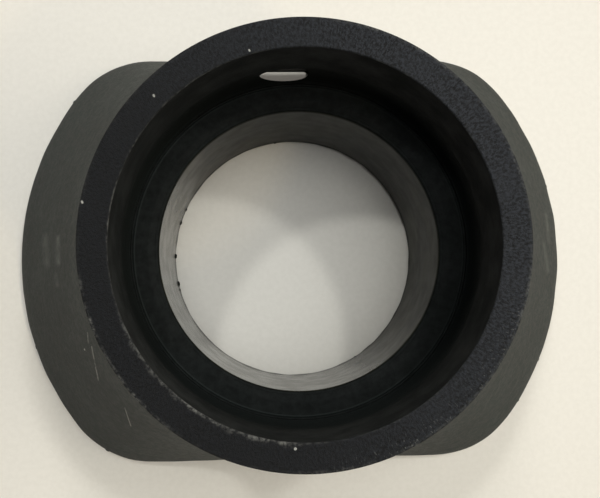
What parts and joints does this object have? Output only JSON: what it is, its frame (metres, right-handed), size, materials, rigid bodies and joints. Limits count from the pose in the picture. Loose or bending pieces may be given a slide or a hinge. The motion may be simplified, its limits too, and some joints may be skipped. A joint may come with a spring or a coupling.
{
  "type": "rubber expansion joint",
  "caption": "Moulded rubber expansion joint: a round socket collar with a throat, on a flared skirt whose foot has two round ends and two flat sides.",
  "frame": {"origin": "centre of the bounding box at the foot's face, on the throat's axis", "axes": "+Z along the throat out of the socket, +X along the foot's long way, +Y towards the drain hole"},
  "size_m": [0.1448, 0.1076, 0.0746],
  "materials": {
    "cover_rubber": "matt moulded skin, faintly mottled",
    "face_rubber": "ground matt face",
    "inner_rubber": "dark matt",
    "throat_rubber": "smooth satin",
    "ply_fabric": "rubber-coated woven cord",
    "ring_steel": "drawn wire and strip"
  },
  "bodies": {
    "foot": {"foot_rim": "cover_rubber", "foot_bead_ring": "ring_steel", "skirt_cover": "cover_rubber", "skirt_ply_outer": "ply_fabric", "skirt_ply_inner": "ply_fabric", "skirt_lining": "inner_rubber"},
    "hoop_1": {"body_hoop_1": "ring_steel"},
    "hoop_2": {"body_hoop_2": "ring_steel"},
    "hoop_3": {"body_hoop_3": "ring_steel"},
    "hoop_4": {"body_hoop_4": "ring_steel"},
    "collar": {"collar_cover": "face_rubber", "collar_band": "ring_steel", "root_filler": "inner_rubber", "socket_lining": "inner_rubber", "seat_pad": "inner_rubber", "seat_washer": "ring_steel", "seat_underpad": "inner_rubber", "throat_liner": "throat_rubber", "throat_tube": "inner_rubber", "throat_hoop_lower": "ring_steel", "throat_hoop_upper": "ring_steel"}
  },
  "joints": [
    {"name": "axial_travel", "type": "slide", "parent": "foot", "child": "hoop_1", "axis": [0, 0, 1], "range_m": [-0.003, 0.003], "stiffness_N_per_m": 20000, "deforming": ["skirt_cover", "skirt_ply_outer", "skirt_ply_inner", "skirt_lining"]},
    {"name": "shift_x", "type": "slide", "parent": "hoop_1", "child": "hoop_2", "axis": [1, 0, 0], "range_m": [-0.003, 0.003], "stiffness_N_per_m": 15000},
    {"name": "shift_y", "type": "slide", "parent": "hoop_2", "child": "hoop_3", "axis": [0, 1, 0], "range_m": [-0.003, 0.003], "stiffness_N_per_m": 15000},
    {"name": "tilt_x", "type": "hinge", "parent": "hoop_3", "child": "hoop_4", "pos_m": [0, 0, 0.03525], "axis": [1, 0, 0], "range_deg": [-2.5, 2.5], "stiffness_Nm_per_rad": 40},
    {"name": "tilt_y", "type": "hinge", "parent": "hoop_4", "child": "collar", "pos_m": [0, 0, 0.04165], "axis": [0, 1, 0], "range_deg": [-2.5, 2.5], "stiffness_Nm_per_rad": 40}
  ]
}
